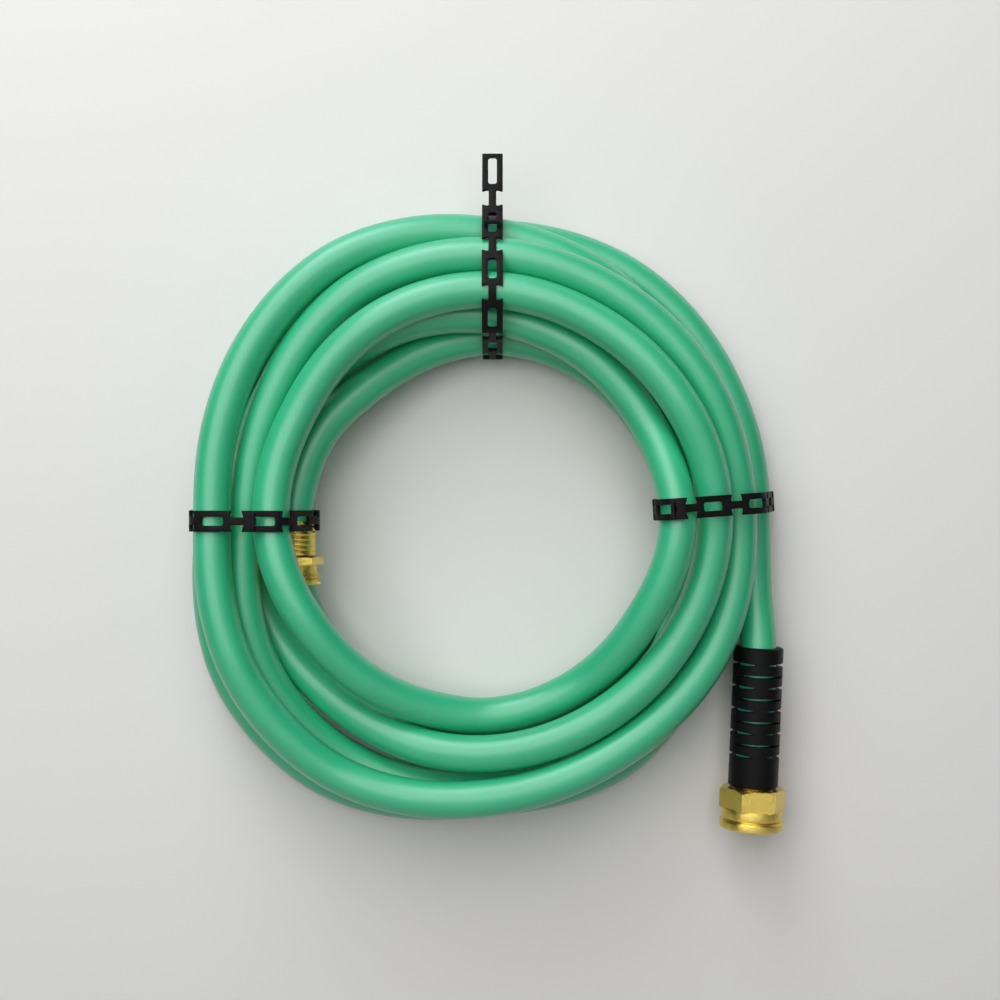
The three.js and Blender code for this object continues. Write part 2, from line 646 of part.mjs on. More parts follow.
// A strap round the bundle. Its end passes under the first bar of its first link, which
// stands up there, and turns out through that link's slot.
function loopStrap(name, place, others = []) {
  const loop = tightLoop([...heldBy(place), ...others]);
  const round = track([...loop, loop[0]]);
  let start = 0;
  while (round.at(start)[0] > place.lockAt) start += 0.5;
  const spot = (along) => round.at((start + along) % round.total);
  const corner = round.total + STRAP.firstBar + CLEARANCE + STRAP.thickness / 2;
  const points = Array.from({ length: Math.floor(2 * corner) }, (_, i) => spot(i / 2));
  const [before, last] = [spot(corner - 1), spot(corner)];
  const rise = layer + STRAP.thickness / 2 + CLEARANCE + STRAP.head.length;
  points.push(last, [last[0] + (last[1] - before[1]) * rise, last[1] - (last[0] - before[0]) * rise]);
  const line = { side: -1, ...track(points) };
  const links = Math.round(round.total / PITCH);
  const pitch = round.total / links;
  const standing = (along) => (
    layer * Math.max(0, Math.min(1, (STRAP.firstBar + 8 - along) / 6)));
  const rows = [];
  for (let i = 0; i < links; i++) {
    const neckRun = pitch - STRAP.linkLength;
    rows.push(...linkRows(i * pitch, neckRun, { lift: i === 0 ? standing : undefined }));
  }
  rows.push(bandRow(corner, NECK_WIDTH / 2, [0, 1, 0]));
  rows.push(...headRows(line.total - STRAP.head.length));
  return finish(name, band(rows, line, place), LOOKS.plastic);
}

// The strap that carries the coil. Its first link hangs on the hook, and its end comes over
// the top from behind and out through the slot of the second link.
function hangingStrap(name, place) {
  const loop = tightLoop(heldBy(place));
  const tilt = THREE.MathUtils.degToRad(STRAP.hangTilt);
  const hung = (down) => [-COIL.z - down * Math.cos(tilt), COIL.hookDepth + down * Math.sin(tilt)];
  const bend = hung(STRAP.hangLength - STRAP.hangBar);
  const steepness = ([radius, depth]) => (depth - bend[1]) / (bend[0] - radius);
  const touch = loop.reduce((best, spot, i) => (
    spot[0] < bend[0] && steepness(spot) > steepness(loop[best]) ? i : best), 0);
  let leave = 0;
  while (loop[leave][0] - loop[leave + 1][0]
    < STRAP.tailSlope * (loop[leave + 1][1] - loop[leave][1])) leave++;
  const [radius, depth] = loop[leave];
  const steep = steepness(loop[touch]);
  const crossing = (bend[1] + steep * (bend[0] - radius) - depth) / (1 - STRAP.tailSlope * steep);
  const run = crossing + layer + 0.6 + STRAP.head.length;
  const end = [radius - STRAP.tailSlope * run, depth + run];
  const line = { side: -1, ...track([
    hung(-STRAP.hangBar), bend, ...loop.slice(touch), ...loop.slice(0, leave + 1), end]) };
  const rows = linkRows(0, STRAP.neckLength, {
    length: STRAP.hangLength, firstBar: STRAP.hangBar, firstBarb: 0 });
  const first = STRAP.hangLength + STRAP.neckLength;
  const headStart = line.total - STRAP.head.length;
  const links = Math.round((headStart - first) / PITCH);
  const pitch = (headStart - first) / links;
  for (let i = 0; i < links; i++) {
    rows.push(...linkRows(first + i * pitch, pitch - STRAP.linkLength));
  }
  rows.push(...headRows(headStart));
  return finish(name, band(rows, line, place), LOOKS.plastic);
}

// ---------------------------------------------------------------- the assembly

const assembly = new THREE.Group();
assembly.add(hose());

const maleEnd = new THREE.Group();
maleEnd.add(maleFerrule(), maleFitting());
maleEnd.position.copy(coilPoint(MALE.axisX, MALE.top, MALE.depth));
assembly.add(maleEnd);

const coupling = new THREE.Group();
coupling.add(bendCollar(), femaleFerrule(), tailpiece(), hoseWasher(), swivelNut());
coupling.position.copy(coilPoint(FEMALE.x, FEMALE.z, FEMALE.depth));
coupling.rotation.copy(couplingTurn);
assembly.add(coupling);

assembly.add(hangingStrap('top_strap', STRAPS.top_strap));
assembly.add(loopStrap('left_strap', STRAPS.left_strap,
  [[-MALE.axisX, MALE.depth, MALE_SLEEVE]]));
assembly.add(loopStrap('right_strap', STRAPS.right_strap));

export default assembly;
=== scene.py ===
"""Garden hose, wound up and held by three straps of slotted links, hung by the top one.

Sizes are millimetres until made() finishes a piece and turns them to metres.
"""

import math

import bmesh
import bpy
from mathutils import Matrix, Vector


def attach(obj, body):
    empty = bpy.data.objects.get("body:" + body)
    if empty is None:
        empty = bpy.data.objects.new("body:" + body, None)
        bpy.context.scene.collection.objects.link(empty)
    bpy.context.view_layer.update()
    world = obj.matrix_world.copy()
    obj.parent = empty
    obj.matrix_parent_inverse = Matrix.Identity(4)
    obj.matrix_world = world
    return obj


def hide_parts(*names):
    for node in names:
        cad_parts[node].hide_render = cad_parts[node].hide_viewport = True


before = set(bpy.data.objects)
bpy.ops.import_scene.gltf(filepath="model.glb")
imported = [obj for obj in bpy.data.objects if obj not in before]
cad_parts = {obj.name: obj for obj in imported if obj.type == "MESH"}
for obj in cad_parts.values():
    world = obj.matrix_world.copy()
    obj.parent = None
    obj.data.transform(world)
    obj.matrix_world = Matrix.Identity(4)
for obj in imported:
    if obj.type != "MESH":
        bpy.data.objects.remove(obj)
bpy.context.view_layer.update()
MM = 0.001

# ------------------------------------------------------------------ sizes

HOSE = {"radius": 9.3, "gap": 0.85, "sides": 28, "rings_per_knot": 4}
STEPS = 24          # of the lie, in one turn
TURN = 2 * math.pi
CENTRE = Vector((-4.45, 38, -183.6))    # of the coil, at its back; it faces -Y
ROUNDS = {"all": 400, "eased": 340, "keep": 0.985}      # of pushing the strands apart

# Each turn at twelve clock places, from the top clockwise: how far the hose is from the
# coil's centre, and from its back. The first row holds the threaded end's three places.
TURN_RADII = [
    [96.4, 97.2, 94.8],
    [97.3, 98, 99.6, 102.6, 101.4, 102.5, 106.5, 107, 107.3, 103.6, 109, 107.6],
    [104.3, 100.2, 98, 98.2, 95, 99.4, 103.4, 102.4, 101.5, 105.7, 107, 112.2],
    [114.8, 112.4, 111.6, 113.4, 112.6, 112.6, 113.6, 115, 119, 123, 127.5, 128],
    [122, 115.5, 111, 109.5, 114.5, 126.5, 136.5, 140.5, 133, 120.5, 123.5, 132.5],
    [133, 131, 130, 130, 134, 133.5, 138, 146, 141, 134, 142, 151],
    [146, 135.8, 125, 121.5, 131.5, 145, 146, 158, 155, 139.8, 146.5, 151.5],
    [147.5, 148.3, 143.2, 140],
]
TURN_DEPTHS = [
    [32.5, 28, 19],
    [13.5, 15, 11, 9.8, 10, 10, 9.8, 9.8, 9.6, 9.6, 13, 32],
    [32, 37.5, 40.2, 57.4, 50.5, 31, 27.5, 41, 54, 51.3, 47.5, 50.5],
    [48.8, 52, 54.6, 45.4, 42, 43.5, 43, 32, 20.5, 15, 14.5, 10.5],
    [23.5, 27, 26.5, 26, 25, 24, 27.5, 26.4, 37, 38, 40, 41],
    [43, 44.5, 41.5, 30, 33, 42, 46, 41.5, 53, 51.5, 48, 37.5],
    [28, 26.5, 12, 9.6, 9.6, 9.6, 9.6, 9.6, 9.6, 9.6, 9.6, 9.6],
    [9.6, 9.6, 9.6, 9.6],
]
FIRST_STEP = -6     # the threaded end leaves the coil at nine o'clock
LEAD = [(141.6, -38.5, 12), (142.6, -58, 16.5)]     # right, up and depth, to the collar

MALE = {"x": -96.4, "top": -0.4, "depth": 32.5, "ferrule_d": 21.6, "ferrule": 17.8,
        "ridges": 7, "hex": 25.4, "hex_h": 3.9, "turn": 14, "boss_d": 22.6, "boss": 3.9,
        "thread_d": 26.6, "thread": 6.6, "thread_depth": 1.4, "bore": 8, "tail_d": 9.2,
        "tail": 15}
FEMALE = {"x": 142.8, "z": -66, "depth": 18.5, "tilt": 2.4, "ferrule": 12, "crimp": 1.2,
          "flange_d": 23.6, "flange": 2.4, "shank_d": 15, "bore": 8, "tail": 26,
          "washer": 3, "washer_d": 24.6, "washer_bore": 15.9}
COLLAR = {"d": 25.6, "wall": 3.15, "socket": 14.4, "length": 72, "hose_cut": 2,
          "slots": 9, "first": 8.6, "pitch": 5.9,
          "side": {"chord": 3.2, "root": 0.6, "mouth": 2.6},
          "front": {"chord": 5.2, "root": 0.6, "mouth": 1.5}}
NUT = {"flats": 30, "hex_h": 11, "body_d": 31.6, "rim_d": 33, "length": 21, "rim_h": 4.6,
       "groove": 0.8, "lip": 3.4, "thread_d": 25.4, "thread": 9, "thread_depth": 0.9,
       "eye_d": 15.6, "gap": 1, "turn": 2}
PITCH = 25.4 / 11.5     # garden hose thread
CLEAR = 0.3

STRAP = {"width": 10.4, "thick": 1.8, "link": 17.8, "neck": 8.6, "neck_w": 3.8,
         "slot_w": 4.4, "first_bar": 3.9, "last_bar": 2.8, "hang_link": 19, "hang_bar": 2,
         "hang_neck": 10.2, "hang_tilt": 10, "barb": 1, "tail_slope": 0.4, "head_w": 9.4,
         "head": 2.2, "off_hose": 0.1, "slice": 1.1, "soft_edge": 0.22}
# A bridge is a place out from the centre and from the back, where a strap stands off.
TOP = {"clock": 0, "aside": 4.45, "bridge": (104, 43)}
LEFT = {"clock": 270, "aside": 0, "lock_at": 116.2}
RIGHT = {"clock": 86.3, "aside": 0, "lock_at": 98, "bridge": (131, 44)}


# ------------------------------------------------------------------ the lie of the hose

def eased(row, at):
    """A smooth value through a row of equally spaced ones."""
    i = min(int(at), len(row) - 2)
    f = at - i
    a, b, c, d = (row[max(0, min(len(row) - 1, k))] for k in (i - 1, i, i + 1, i + 2))
    return b + 0.5 * f * (c - a + f * (2 * a - 5 * b + 4 * c - d + f * (3 * (b - c) + d - a)))


def lay_turns():
    """The places of the strands, pushed apart until they lie side by side."""
    radii, depths = sum(TURN_RADII, []), sum(TURN_DEPTHS, [])
    count = (len(radii) - 1) * 2 + 1
    chosen = [(eased(radii, i / 2), eased(depths, i / 2)) for i in range(count)]
    lie = [list(place) for place in chosen]
    apart = 2 * HOSE["radius"] + HOSE["gap"]
    corner = MALE["hex"] / math.sqrt(3)
    fitting = [(0, MALE["ferrule_d"] / 2), (-1, corner), (-2, corner - 6)]
    for turn in range(ROUNDS["all"]):
        for i in range(count):
            for j in range(i + STEPS, count, STEPS):
                across, out = lie[j][0] - lie[i][0], lie[j][1] - lie[i][1]
                distance = math.hypot(across, out)
                push = max(0, apart - distance) / 2 / max(distance, 1)
                lie[i][0] -= across * push
                lie[i][1] -= out * push
                lie[j][0] += across * push
                lie[j][1] += out * push
        for step, size in fitting:
            axis = -MALE["x"] / math.cos(step * TURN / STEPS)
            for i in range(step + STEPS, count, STEPS):
                across, out = lie[i][0] - axis, lie[i][1] - MALE["depth"]
                distance = math.hypot(across, out)
                push = max(0, size + HOSE["radius"] + HOSE["gap"] - distance) / distance
                lie[i][0] += across * push
                lie[i][1] += out * push
        lie[0] = list(chosen[0])
        if turn >= ROUNDS["eased"]:
            continue
        moved = [[p[k] - c[k] for k in (0, 1)] for p, c in zip(lie, chosen)]
        for i in range(1, count):
            before, after = moved[i - 1], moved[min(count - 1, i + 1)]
            for k in (0, 1):
                even = 0.5 * moved[i][k] + 0.25 * (before[k] + after[k])
                lie[i][k] = chosen[i][k] + ROUNDS["keep"] * even
    return lie


LIE = lay_turns()


def coil_point(right, up, depth):
    return CENTRE + Vector((right, -depth, up))


def strand_at(at):
    """The hose's radius, depth and slope so many steps from its first."""
    last, ahead = len(LIE) - 1, 0.05
    at = max(0, min(last, at))
    radius, depth = (eased([place[k] for place in LIE], at) for k in (0, 1))
    further = eased([place[1] for place in LIE], min(at + ahead, last))
    return radius, depth, math.atan2(further - depth, radius * ahead * TURN / STEPS)


def smooth_line(knots, per_knot):
    """Points of a centripetal Catmull-Rom line through the knots."""
    ends = [2 * knots[0] - knots[1], *knots, 2 * knots[-1] - knots[-2]]
    line = []
    for p0, p1, p2, p3 in zip(ends, ends[1:], ends[2:], ends[3:]):
        t1 = math.sqrt((p1 - p0).length)
        t2 = t1 + math.sqrt((p2 - p1).length)
        t3 = t2 + math.sqrt((p3 - p2).length)
        for k in range(per_knot):
            t = t1 + (t2 - t1) * k / per_knot
            a1 = p0.lerp(p1, t / t1)
            a2 = p1.lerp(p2, (t - t1) / (t2 - t1))
            a3 = p2.lerp(p3, (t - t2) / (t3 - t2))
            b1 = a1.lerp(a2, t / t2)
            b2 = a2.lerp(a3, (t - t1) / (t3 - t1))
            line.append(b1.lerp(b2, (t - t1) / (t2 - t1)))
    return [*line, knots[-1]]


COUPLING = (Matrix.Translation(coil_point(FEMALE["x"], FEMALE["z"], FEMALE["depth"]))
            @ Matrix.Rotation(math.radians(FEMALE["tilt"]), 4, "Y"))


def hose_line():
    """Points along the hose's middle, from the threaded end to its cut in the collar."""
    cut_at = MALE["top"] - MALE["ferrule"] + CLEAR + 0.6
    knots = [coil_point(MALE["x"], up, MALE["depth"]) for up in (cut_at, cut_at / 2)]
    for half in range(2 * len(LIE) - 1):
        radius, depth, _ = strand_at(half / 2)
        clock = (FIRST_STEP + half / 2) * TURN / STEPS
        knots.append(coil_point(radius * math.sin(clock), radius * math.cos(clock), depth))
    knots += [coil_point(*point) for point in LEAD]
    run = COLLAR["length"] - COLLAR["hose_cut"]
    knots += [COUPLING @ Vector((0, 0, -along)) for along in (6, run / 2, run)]
    return smooth_line(knots, HOSE["rings_per_knot"])


# ------------------------------------------------------------------ finishes

class Wire:
    """A shader value that adds and multiplies as a number does."""

    def __init__(self, finish, socket):
        self.finish, self.socket = finish, socket

    def maths(self, operation, *values):
        return self.finish.node("ShaderNodeMath", {"operation": operation},
                                **{f"in{k}": v for k, v in enumerate((self, *values))}).out()

    def __add__(self, other):
        return self.maths("ADD", other)

    def __mul__(self, other):
        return self.maths("MULTIPLY", other)

    __radd__, __rmul__ = __add__, __mul__

    def above(self, low, high):
        """0 below low, 1 above high, and smooth between."""
        ramp = self.finish.node("ShaderNodeMapRange", {"interpolation_type": "SMOOTHSTEP"},
                                Value=self, From_Min=low, From_Max=high)
        return ramp.out("Result")


class Node:
    """A shader node, and its outputs as wires."""

    def __init__(self, finish, node):
        self.finish, self.node = finish, node

    def out(self, name=0):
        return Wire(self.finish, self.node.outputs[name])


class Finish:
    """A material of one Principled shader, and the nodes that feed it."""

    def __init__(self, name, **constants):
        self.material = bpy.data.materials.new(name)
        self.material.use_nodes = True
        self.tree = self.material.node_tree
        self.shader = self.tree.nodes["Principled BSDF"]
        self.feed(**constants)

    def _set(self, socket, value):
        if isinstance(value, Wire):
            self.tree.links.new(value.socket, socket)
        elif isinstance(value, (tuple, list)) and len(value) == 3 and socket.type == "RGBA":
            socket.default_value = (*value, 1)
        else:
            socket.default_value = value

    def feed(self, **values):
        for name, value in values.items():
            self._set(self.shader.inputs[name.replace("_", " ")], value)
        return self

    def node(self, kind, settings=None, **values):
        node = self.tree.nodes.new(kind)
        for name, value in (settings or {}).items():
            setattr(node, name, value)
        for name, value in values.items():
            key = int(name[2:]) if name.startswith("in") else name.replace("_", " ")
            self._set(node.inputs[key], value)
        return Node(self, node)

    def place(self):
        return self.node("ShaderNodeTexCoord").out("Object")

    def along(self, name):
        return self.node("ShaderNodeAttribute", {"attribute_name": name}).out("Vector")

    def stretched(self, vector, scale):
        return self.node("ShaderNodeMapping", Vector=vector, Scale=scale).out()

    def noise(self, vector, scale, detail=3, roughness=0.55):
        return self.node("ShaderNodeTexNoise", Vector=vector, Scale=scale, Detail=detail,
                         Roughness=roughness).out("Fac")

    def mix(self, factor, first, second):
        node = self.node("ShaderNodeMix", {"data_type": "RGBA"}).node
        self._set(node.inputs[0], factor)
        self._set(node.inputs[6], first)
        self._set(node.inputs[7], second)
        return Wire(self, node.outputs[2])

    def bump(self, height, distance, strength=1.0):
        normal = self.node("ShaderNodeBump", Height=height, Distance=distance,
                           Strength=strength)
        return self.feed(Normal=normal.out("Normal"))


def vinyl_finish():
    """Satin green vinyl: extrusion lines along the hose, a soft mottle and dull handling marks."""
    f = Finish("hose_vinyl", Specular_IOR_Level=0.8, Coat_Weight=0.9, Coat_Roughness=0.38)
    lay = f.along("lay")
    lines = f.noise(f.stretched(lay, (1, 1, 0.03)), 900, 2)
    mottle = f.noise(lay, 35, 4)
    grain = f.noise(lay, 1900, 3)
    marks = f.noise(f.stretched(lay, (1, 1, 0.35)), 60, 5, 0.65).above(0.56, 0.72)
    green = f.mix(mottle.above(0.3, 0.7), (0.022, 0.51, 0.235), (0.03, 0.545, 0.255))
    green = f.mix(marks * 0.18, green, (0.08, 0.5, 0.28))
    f.feed(Base_Color=green, Roughness=0.37 + 0.08 * mottle + 0.1 * marks + 0.04 * lines)
    f.bump(lines * 0.5 + grain * 0.35 + mottle * 0.6, 0.0001)
    return f.material


def brass_finish(name):
    """Machined brass with tool lines and a faint brown stain."""
    f = Finish(name, Metallic=1.0)
    at = f.place()
    lines = f.noise(f.stretched(at, (1, 1, 30)), 400, 3)
    stain = f.noise(at, 160, 4, 0.6)
    tarnish = stain.above(0.5, 0.75)
    colour = f.mix(tarnish * 0.35, (0.83, 0.62, 0.15), (0.5, 0.35, 0.08))
    f.feed(Base_Color=colour, Roughness=0.17 + 0.08 * lines + 0.12 * tarnish)
    f.bump(lines + stain * 0.3, 0.0001)
    return f.material


def moulded_finish(name, colour, rough):
    """Black moulding: a spark-eroded grain with duller, greyer rubbed patches."""
    f = Finish(name, Specular_IOR_Level=0.15)
    at = f.place()
    grain = f.noise(at, 2600, 2)
    rubbed = f.noise(at, 120, 4, 0.6).above(0.5, 0.75)
    f.feed(Base_Color=f.mix(rubbed * 0.4, colour, tuple(2.5 * c for c in colour)),
           Roughness=rough + 0.1 * rubbed + 0.06 * grain)
    f.bump(grain, 0.00008, 0.7)
    return f.material


# ------------------------------------------------------------------ making pieces

def made(name, bm, material, body, slot, *nodes, sharp=35):
    """The finished piece, in metres, standing for its CAD nodes."""
    bmesh.ops.scale(bm, vec=(MM, MM, MM), verts=bm.verts)
    for face in bm.faces:
        face.smooth = True
    for edge in bm.edges:
        if len(edge.link_faces) == 2 and edge.calc_face_angle() > math.radians(sharp):
            edge.smooth = False
    mesh = bpy.data.meshes.new(name)
    bm.to_mesh(mesh)
    bm.free()
    piece = bpy.data.objects.new(name, mesh)
    bpy.context.scene.collection.objects.link(piece)
    mesh.materials.append(material)
    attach(piece, body)
    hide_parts(*nodes)
    return piece


def put(bm, matrix):
    bmesh.ops.transform(bm, matrix=matrix, verts=bm.verts)
    return bm


def turned(profile, sides=96, soften=0.0):
    """A closed profile of (radius, height) spun round Z, its edges softened."""
    bm = bmesh.new()
    rim = [bm.verts.new((radius, 0, height)) for radius, height in profile]
    for a, b in zip(rim, rim[1:] + rim[:1]):
        if a.co.x > 0 or b.co.x > 0:
            bm.edges.new((a, b))
    bmesh.ops.spin(bm, geom=bm.verts[:] + bm.edges[:], cent=(0, 0, 0), axis=(0, 0, 1),
                   dvec=(0, 0, 0), angle=TURN, steps=sides, use_merge=True,
                   use_normal_flip=False, use_duplicate=False)
    bmesh.ops.remove_doubles(bm, verts=bm.verts, dist=1e-4)
    bmesh.ops.recalc_face_normals(bm, faces=bm.faces)
    if soften:
        soften_edges(bm, soften, 25)
    return bm


def soften_edges(bm, width, angle):
    """The edges sharper than the angle, rounded to the width."""
    edges = [e for e in bm.edges if len(e.link_faces) == 2
             and e.calc_face_angle() > math.radians(angle)]
    round_edges(bm, edges, width, 2)


def round_edges(bm, edges, width, segments):
    bmesh.ops.bevel(bm, geom=edges, offset=width, offset_type="OFFSET", affect="EDGES",
                    segments=segments, profile=0.5, material=-1, clamp_overlap=True)


def ridge(core, crest, bottom, turns):
    """One screw ridge round Z, its section wider at the core."""
    bm, sides = bmesh.new(), 72
    section = [(core, 0), (crest, 0.3), (crest, 0.42), (core, 0.72)]
    rim = [bm.verts.new((radius, 0, bottom + part * PITCH)) for radius, part in section]
    for a, b in zip(rim, rim[1:] + rim[:1]):
        bm.edges.new((a, b))
    steps = round(sides * turns)
    bmesh.ops.spin(bm, geom=bm.verts[:] + bm.edges[:], cent=(0, 0, 0), axis=(0, 0, 1),
                   dvec=(0, 0, PITCH / sides), angle=TURN * steps / sides, steps=steps,
                   use_merge=False, use_normal_flip=False, use_duplicate=False)
    bmesh.ops.holes_fill(bm, edges=[e for e in bm.edges if e.is_boundary], sides=0)
    bmesh.ops.recalc_face_normals(bm, faces=bm.faces)
    return bm


def joined(bm, *others):
    """The first mesh with the others put in it as they are."""
    for other in others:
        mesh = bpy.data.meshes.new("part")
        other.to_mesh(mesh)
        other.free()
        bm.from_mesh(mesh)
        bpy.data.meshes.remove(mesh)
    return bm


def cut(bm, tool, operation):
    """The body less the tool, or what both share."""
    objects = []
    for part in (bm, tool):
        mesh = bpy.data.meshes.new("part")
        part.to_mesh(mesh)
        part.free()
        objects.append(bpy.data.objects.new("part", mesh))
        bpy.context.scene.collection.objects.link(objects[-1])
    modifier = objects[0].modifiers.new("cut", "BOOLEAN")
    modifier.object, modifier.operation, modifier.solver = objects[1], operation, "EXACT"
    evaluated = objects[0].evaluated_get(bpy.context.evaluated_depsgraph_get())
    result = bmesh.new()
    result.from_mesh(evaluated.to_mesh())
    for part in objects:
        mesh = part.data
        bpy.data.objects.remove(part)
        bpy.data.meshes.remove(mesh)
    return result


def hex_bar(flats, bottom, top, turn, chamfer_bottom, chamfer_top):
    """A hexagon with its corners turned off at the ends."""
    corner = flats / math.sqrt(3)
    bm = bmesh.new()
    bmesh.ops.create_cone(bm, cap_ends=True, segments=6, radius1=corner, radius2=corner,
                          depth=top - bottom + 2)
    put(bm, Matrix.Translation((0, 0, (top + bottom) / 2))
        @ Matrix.Rotation(math.radians(turn + 30), 4, "Z"))
    blank = turned([(0, bottom), (corner - chamfer_bottom * 1.6, bottom),
                    (corner + 0.05, bottom + chamfer_bottom), (corner + 0.05, top - chamfer_top),
                    (corner - chamfer_top * 1.6, top), (0, top)], 120)
    return cut(bm, blank, "INTERSECT")


# ------------------------------------------------------------------ the hose

def hose(material):
    """A round rod swept along the lie. Its lay attribute is a place on the straightened hose."""
    line = hose_line()
    bm = bmesh.new()
    lay = bm.verts.layers.float_vector.new("lay")
    sides, radius = HOSE["sides"], HOSE["radius"]
    rim = bmesh.ops.create_circle(bm, cap_ends=False, segments=sides, radius=radius)["verts"]
    flat = [v.co.copy() for v in rim]
    length = 0
    for i, point in enumerate(line):
        ahead = (line[min(i + 1, len(line) - 1)] - line[max(i - 1, 0)]).normalized()
        front = (Vector((0, -1, 0)) + ahead * ahead.y).normalized()
        side = ahead.cross(front)
        if i:
            length += (point - line[i - 1]).length
            edges = {e for v in rim for e in v.link_edges if all(u in ring for u in e.verts)}
            grown = bmesh.ops.extrude_edge_only(bm, edges=list(edges))["geom"]
            fresh = [g for g in grown if isinstance(g, bmesh.types.BMVert)]
            order = {v: next(e.other_vert(v) for e in v.link_edges
                             if e.other_vert(v) in ring) for v in fresh}
            back = {old: new for new, old in order.items()}
            rim = [back[v] for v in rim]
        ring = set(rim)
        for v, spot in zip(rim, flat):
            v.co = point + front * spot.x + side * spot.y
            v[lay] = Vector((spot.x, spot.y, length)) * MM
    bmesh.ops.holes_fill(bm, edges=[e for e in bm.edges if e.is_boundary], sides=0)
    bmesh.ops.recalc_face_normals(bm, faces=bm.faces)
    piece = made("green_hose", bm, material, "coil", "hose_vinyl", "hose")
    path = [point * MM for point in line]
    return piece, path, length * MM


# ------------------------------------------------------------------ the fittings

def male_end(brass, turned_brass):
    """The ridged ferrule, and the body with its hex, boss and thread."""
    place = Matrix.Translation(coil_point(MALE["x"], MALE["top"], MALE["depth"]))
    length, pitch = MALE["ferrule"], MALE["ferrule"] / MALE["ridges"]
    outer, bore = MALE["ferrule_d"] / 2, HOSE["radius"] + CLEAR / 2
    profile = [(bore, 0), (bore, -length)]
    for i in reversed(range(MALE["ridges"])):
        top = -i * pitch
        profile += [(outer - 0.7, top - pitch + 0.05), (outer - 0.1, top - 0.78 * pitch),
                    (outer, top - 0.55 * pitch), (outer - 0.1, top - 0.3 * pitch)]
    profile.append((outer - 0.7, 0))
    ferrule = made("crimped_ferrule", put(turned(profile), place), turned_brass,
                   "coil", "brass", "male_ferrule", sharp=50)

    hex_top = -length - CLEAR
    hex_bottom = hex_top - MALE["hex_h"]
    boss_bottom = hex_bottom - MALE["boss"]
    mouth = boss_bottom - MALE["thread"]
    core = MALE["thread_d"] / 2 - MALE["thread_depth"]
    boss, tail, tail_end = MALE["boss_d"] / 2, MALE["tail_d"] / 2, hex_top + MALE["tail"]
    body = turned([(MALE["bore"] / 2, mouth), (core - 0.7, mouth), (core, mouth + 0.7),
                   (core, boss_bottom), (boss, boss_bottom + 0.01),
                   (boss, hex_bottom + 0.3), (tail, hex_bottom + 0.3),
                   (tail, tail_end), (MALE["bore"] / 2, tail_end)], 96, 0.2)
    turns = (MALE["thread"] - 0.3) / PITCH - 0.6
    body = joined(body, ridge(core - 0.2, MALE["thread_d"] / 2, mouth + 0.2, turns),
                  hex_bar(MALE["hex"], hex_bottom, hex_top, MALE["turn"], 0.6, 0.6))
    end = made("threaded_end", put(body, place), brass, "coil", "brass", "male_fitting", sharp=28)
    return [ferrule, end]


NUT_TOP = -(COLLAR["length"] + NUT["gap"])
NUT_MOUTH = NUT_TOP - NUT["length"]
UNDER_LIP = NUT_TOP - NUT["lip"]
HOSE_CUT = -(COLLAR["length"] - COLLAR["hose_cut"])
CRIMP = HOSE["radius"] + CLEAR + FEMALE["crimp"]


def bend_collar(material):
    """The slotted sleeve: pairs of wedge slots, at the sides and at front and back by turns."""
    outer, length = COLLAR["d"] / 2, COLLAR["length"]
    bore = outer - COLLAR["wall"]
    step, socket = COLLAR["socket"] - length, CRIMP + CLEAR
    sleeve = turned([(bore, 0), (bore, step), (socket, step), (socket, -length),
                     (outer - 0.5, -length), (outer, -length + 0.5), (outer, -0.6),
                     (outer - 0.6, 0)], 120)
    wedges = bmesh.new()
    reach = 2 * COLLAR["d"]
    for i in range(COLLAR["slots"]):
        slot = COLLAR["front"] if i % 2 else COLLAR["side"]
        chord, half_mouth, half_root = slot["chord"], slot["mouth"] / 2, slot["root"] / 2
        for half_turn in (0, 180):
            corners = [wedges.verts.new((x, -reach / 2, z)) for x, z in (
                (chord, -half_root), (outer + 1, -half_mouth),
                (outer + 1, half_mouth), (chord, half_root))]
            face = wedges.faces.new(corners)
            grown = bmesh.ops.extrude_face_region(wedges, geom=[face])["geom"]
            fresh = [g for g in grown if isinstance(g, bmesh.types.BMVert)]
            bmesh.ops.translate(wedges, vec=(0, reach, 0), verts=fresh)
            turn = half_turn + (90 if i % 2 else 0)
            bmesh.ops.transform(wedges, verts=corners + fresh, matrix=(
                Matrix.Translation((0, 0, -COLLAR["first"] - i * COLLAR["pitch"]))
                @ Matrix.Rotation(math.radians(turn), 4, "Z")))
    bmesh.ops.recalc_face_normals(wedges, faces=wedges.faces)
    made("slotted_collar", put(cut(sleeve, wedges, "DIFFERENCE"), COUPLING), material,
         "coil", "black_plastic", "bend_collar", sharp=30)


